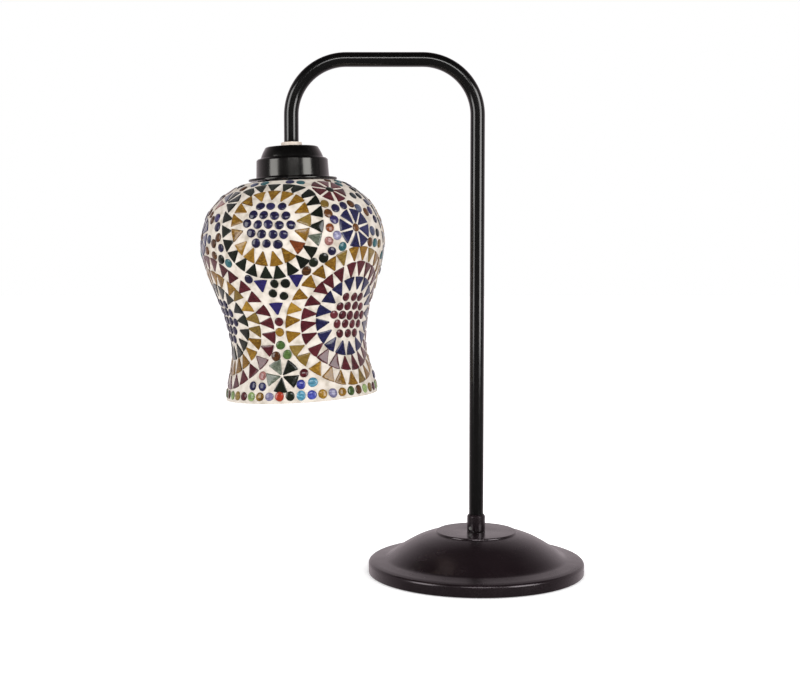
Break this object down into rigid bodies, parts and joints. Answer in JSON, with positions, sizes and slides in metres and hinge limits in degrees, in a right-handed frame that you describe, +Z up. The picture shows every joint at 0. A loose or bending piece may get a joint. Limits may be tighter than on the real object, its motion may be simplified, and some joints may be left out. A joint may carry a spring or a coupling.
{
  "type": "table lamp",
  "caption": "Desk lamp with a domed metal base, a swan-neck tube and a hanging mosaic glass shade over a screw-in bulb.",
  "frame": {"origin": "centre of the felt pad under the base, on the surface that the lamp stands on", "axes": "+Z up the column, -X towards the arm and the shade, +Y to the back"},
  "size_m": [0.3373, 0.1925, 0.4566],
  "materials": {
    "black_metal": "satin black with a faint brown-violet tint",
    "black_plastic": "moulded black plastic",
    "cream_plastic": "moulded cream plastic",
    "zinc_steel": "zinc-plated steel",
    "nickel": "nickel plate",
    "brass": "brass",
    "cast_iron": "raw cast iron",
    "felt": "black felt",
    "rubber": "matt black rubber",
    "cord_pvc": "black PVC sheath",
    "porcelain": "glazed porcelain",
    "fibre": "red vulcanised fibre",
    "insulator": "dark vitrite",
    "clear_glass": "clear blown glass",
    "bulb_glass": "clear bulb glass",
    "mosaic_glass": "glass tiles in warm white grout, glossy"
  },
  "bodies": {
    "base": {"base_shell": "black_metal", "base_weight": "cast_iron", "bottom_cover": "zinc_steel", "felt_pad": "felt", "base_nipple": "zinc_steel", "base_nut": "zinc_steel", "base_washer": "zinc_steel", "stem_socket": "black_metal", "grub_screw": "zinc_steel", "cord_grommet": "rubber", "flex_base": "cord_pvc"},
    "arm": {"arm_tube": "black_metal", "flex_arm": "cord_pvc"},
    "head": {"head_nipple": "brass", "check_nut": "cream_plastic", "gallery_cap": "black_metal", "lock_washer": "zinc_steel", "lock_nut": "zinc_steel", "flex_head": "cord_pvc", "holder_cap": "black_plastic", "holder_skirt": "black_plastic", "holder_core": "porcelain", "centre_contact": "brass", "screw_shell": "brass", "shade_glass": "clear_glass", "shade_mosaic": "mosaic_glass"},
    "clamp_washer": {"shade_washer": "fibre"},
    "clamp_ring": {"shade_ring": "black_plastic"},
    "bulb_slider": {"bulb_tip": "brass"},
    "bulb": {"bulb_insulator": "insulator", "bulb_cap": "nickel", "bulb_glass": "bulb_glass", "bulb_stem": "bulb_glass"}
  },
  "joints": [
    {"name": "arm_swivel", "type": "hinge", "parent": "base", "child": "arm", "pos_m": [0, 0, 0.0423], "axis": [0, 0, 1], "range_deg": [-170, 170]},
    {"name": "head_swivel", "type": "hinge", "parent": "arm", "child": "head", "pos_m": [-0.1622, 0, 0.3793], "axis": [-0.0349, 0, 0.9994], "range_deg": [-170, 170]},
    {"name": "ring_travel", "type": "slide", "parent": "head", "child": "clamp_washer", "axis": [0.0349, 0, -0.9994], "range_m": [0, 0.018]},
    {"name": "ring_turn", "type": "hinge", "parent": "clamp_washer", "child": "clamp_ring", "pos_m": [-0.16073, 0, 0.33733], "axis": [0.0349, 0, -0.9994], "range_deg": [0, 2160]},
    {"name": "bulb_travel", "type": "slide", "parent": "head", "child": "bulb_slider", "axis": [0.0349, 0, -0.9994], "range_m": [0, 0.0218]},
    {"name": "bulb_turn", "type": "hinge", "parent": "bulb_slider", "child": "bulb", "pos_m": [-0.16011, 0, 0.31934], "axis": [0.0349, 0, -0.9994], "range_deg": [0, 2160]}
  ],
  "couplings": [
    {"joint": "ring_travel", "follows": "ring_turn", "m_per_rad": 0.000477},
    {"joint": "bulb_travel", "follows": "bulb_turn", "m_per_rad": 0.000577}
  ]
}
